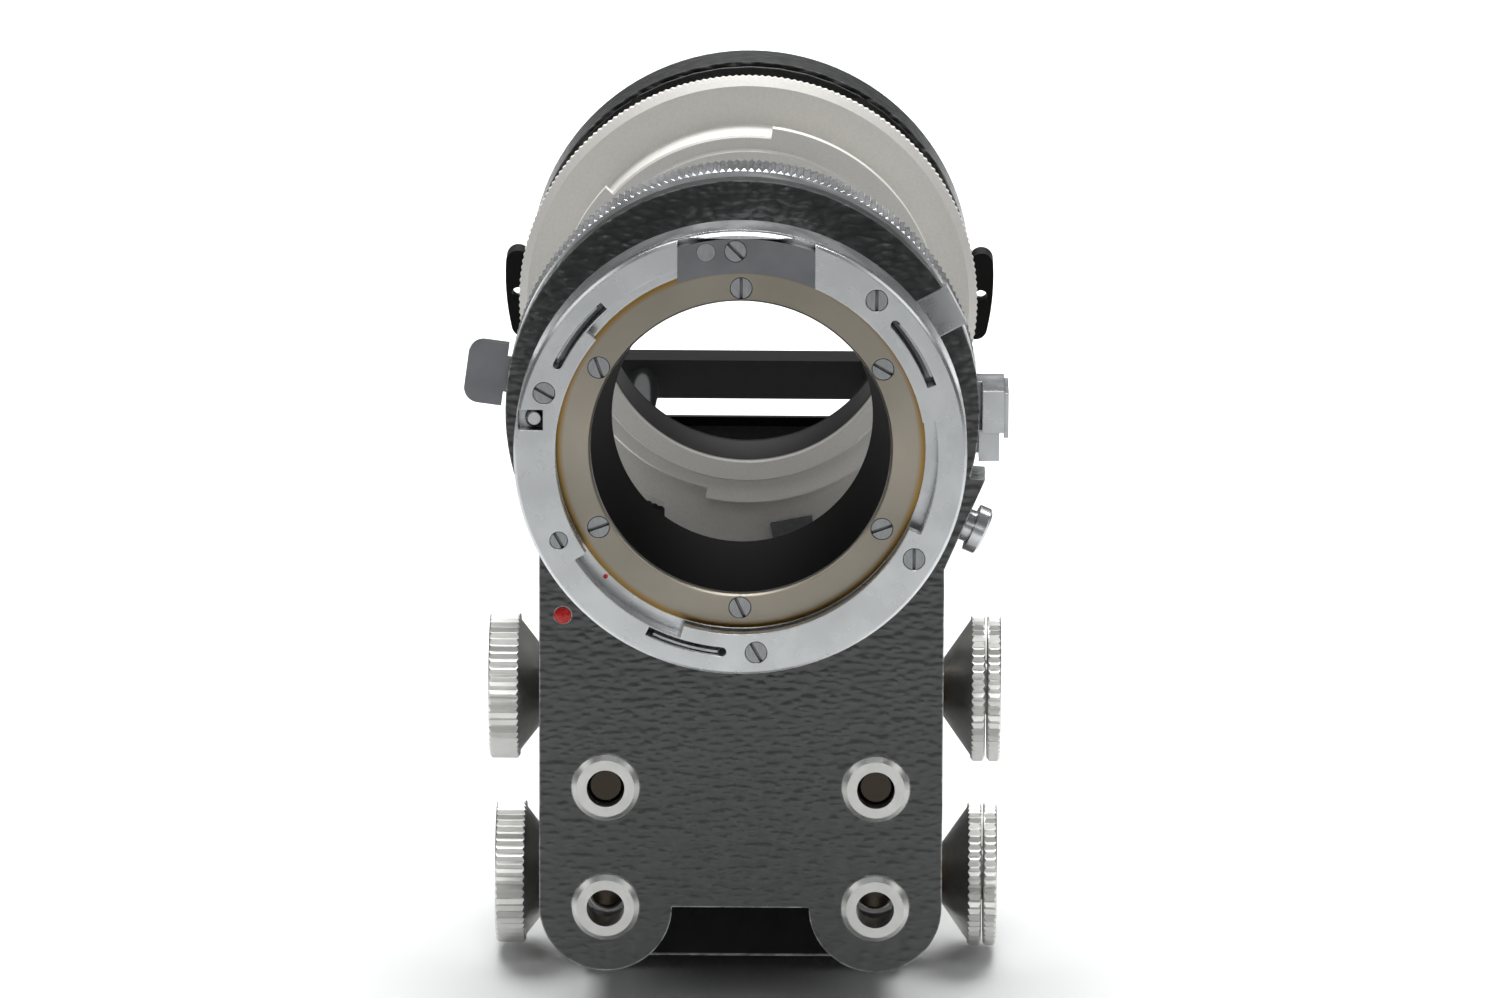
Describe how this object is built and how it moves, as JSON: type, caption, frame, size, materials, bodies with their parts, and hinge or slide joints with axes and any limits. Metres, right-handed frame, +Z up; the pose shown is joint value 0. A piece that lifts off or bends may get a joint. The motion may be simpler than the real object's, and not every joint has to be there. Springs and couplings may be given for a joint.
{
  "type": "macro bellows unit",
  "caption": "Macro bellows unit: lens carriage and camera carriage on rods in a tripod block, rack-and-pinion knobs, folded bellows.",
  "frame": {"origin": "mouth of the tripod socket on the underside of the foot", "axes": "+X to the right seen from the lens side, +Y from the lens towards the camera along the optical axis, +Z up"},
  "size_m": [0.0787, 0.3, 0.1296],
  "materials": {
    "chrome": "satin chrome plate on steel",
    "ring_metal": "knurled bright aluminium",
    "dark_steel": "blued steel",
    "nickel": "turned nickel silver, aged brass at its edge",
    "black_paint": "matt black anodised aluminium",
    "hammer_finish": "black hammer paint on cast aluminium",
    "satin_aluminium": "turned satin aluminium",
    "satin_silver": "bead-blasted anodised aluminium",
    "ground_steel": "ground steel",
    "bronze": "turned bronze",
    "bellows_cloth": "black pleated bellows cloth",
    "red_enamel": "glossy red enamel bead"
  },
  "bodies": {
    "tripod_unit": {"tripod_block": "hammer_finish", "block_bushes": "satin_aluminium", "shaft_bearings": "bronze", "label_plate": "black_paint", "gear_cover": "hammer_finish", "cover_screws": "ground_steel", "foot_plate": "black_paint", "foot_screws": "ground_steel", "tripod_bush": "bronze"},
    "lens_carriage": {"lens_flange": "chrome", "flange_insert": "dark_steel", "insert_dowel": "chrome", "flange_screws": "chrome", "flange_small_screw": "chrome", "bayonet_springs": "chrome", "throat_ring": "nickel", "throat_screws": "chrome", "baffle_tube": "black_paint", "lens_plate": "hammer_finish", "plate_bushes": "satin_aluminium", "lens_index_bead": "red_enamel", "index_clip": "chrome", "collar": "chrome", "rear_sleeve": "chrome", "sleeve_screws": "chrome", "cable_socket": "chrome", "upper_rod_left": "ground_steel", "upper_rod_right": "ground_steel", "tail_bar": "black_paint", "tail_screws": "ground_steel"},
    "coupling_ring": {"coupling_ring": "ring_metal", "ring_catch": "chrome"},
    "release_lever": {"release_lever": "dark_steel", "lock_pin": "chrome"},
    "cable_plunger": {"cable_plunger": "chrome"},
    "upper_drive": {"upper_pinion": "ground_steel", "upper_knob_left": "satin_aluminium", "upper_knob_right": "satin_aluminium", "upper_end_caps": "ground_steel"},
    "upper_lock_ring": {"upper_lock_ring": "satin_aluminium"},
    "lower_drive": {"lower_pinion": "ground_steel", "lower_knob_left": "satin_aluminium", "lower_knob_right": "satin_aluminium", "lower_end_caps": "ground_steel"},
    "lower_lock_ring": {"lower_lock_ring": "satin_aluminium"},
    "camera_carriage": {"lower_rod_left": "ground_steel", "lower_rod_right": "ground_steel", "camera_standard": "hammer_finish", "standard_bushes": "satin_aluminium", "strap_ears": "black_paint", "rear_backing": "black_paint", "bellows": "bellows_cloth"},
    "camera_ring": {"camera_ring": "ground_steel", "ring_retainer": "ground_steel"},
    "thumb_screw": {"thumb_screw": "ground_steel"},
    "bellows_front": {"front_frame": "satin_silver", "front_rim": "satin_silver", "front_backing": "black_paint"},
    "frame_latch": {"frame_latch": "dark_steel"}
  },
  "joints": [
    {"name": "lens_carriage_slide", "type": "slide", "parent": "tripod_unit", "child": "lens_carriage", "axis": [0, 1, 0], "range_m": [-0.118, 0.008]},
    {"name": "upper_knobs_turn", "type": "hinge", "parent": "tripod_unit", "child": "upper_drive", "pos_m": [0, -0.045, 0.0484], "axis": [1, 0, 0], "range_deg": [-905, 65]},
    {"name": "upper_lock_turn", "type": "hinge", "parent": "upper_drive", "child": "upper_lock_ring", "pos_m": [0.0369, -0.045, 0.0484], "axis": [1, 0, 0], "range_deg": [0, 60]},
    {"name": "camera_carriage_slide", "type": "slide", "parent": "tripod_unit", "child": "camera_carriage", "axis": [0, 1, 0], "range_m": [-0.008, 0.04]},
    {"name": "lower_knobs_turn", "type": "hinge", "parent": "tripod_unit", "child": "lower_drive", "pos_m": [0, -0.017, 0.0124], "axis": [1, 0, 0], "range_deg": [-340, 70]},
    {"name": "lower_lock_turn", "type": "hinge", "parent": "lower_drive", "child": "lower_lock_ring", "pos_m": [0.0369, -0.017, 0.0124], "axis": [1, 0, 0], "range_deg": [0, 60]},
    {"name": "coupling_ring_turn", "type": "hinge", "parent": "lens_carriage", "child": "coupling_ring", "pos_m": [0, -0.056, 0.095], "axis": [0, -1, 0], "range_deg": [0, 17]},
    {"name": "release_lever_pull", "type": "slide", "parent": "lens_carriage", "child": "release_lever", "axis": [0, 1, 0], "range_m": [0, 0.0024], "stiffness_N_per_m": 400, "springref_m": -0.002},
    {"name": "cable_plunger_push", "type": "slide", "parent": "lens_carriage", "child": "cable_plunger", "axis": [-0.9178, 0, 0.3971], "range_m": [0, 0.002], "stiffness_N_per_m": 300, "springref_m": -0.001},
    {"name": "camera_ring_turn", "type": "hinge", "parent": "camera_carriage", "child": "camera_ring", "pos_m": [0, 0.035, 0.095], "axis": [0, 1, 0], "range_deg": [-90, 90]},
    {"name": "thumb_screw_turn", "type": "hinge", "parent": "camera_carriage", "child": "thumb_screw", "pos_m": [0, 0.035, 0.056], "axis": [0, 1, 0], "range_deg": [0, 180]},
    {"name": "bellows_front_slide", "type": "slide", "parent": "camera_carriage", "child": "bellows_front", "axis": [0, -1, 0], "range_m": [0, 0.0295], "deforming": ["bellows"]},
    {"name": "frame_latch_press", "type": "slide", "parent": "bellows_front", "child": "frame_latch", "axis": [0, 0, -1], "range_m": [0, 0.0012], "stiffness_N_per_m": 200, "springref_m": -0.002}
  ],
  "couplings": [
    {"joint": "upper_knobs_turn", "follows": "lens_carriage_slide", "rad_per_m": 133.33},
    {"joint": "lower_knobs_turn", "follows": "camera_carriage_slide", "rad_per_m": -144.93}
  ]
}
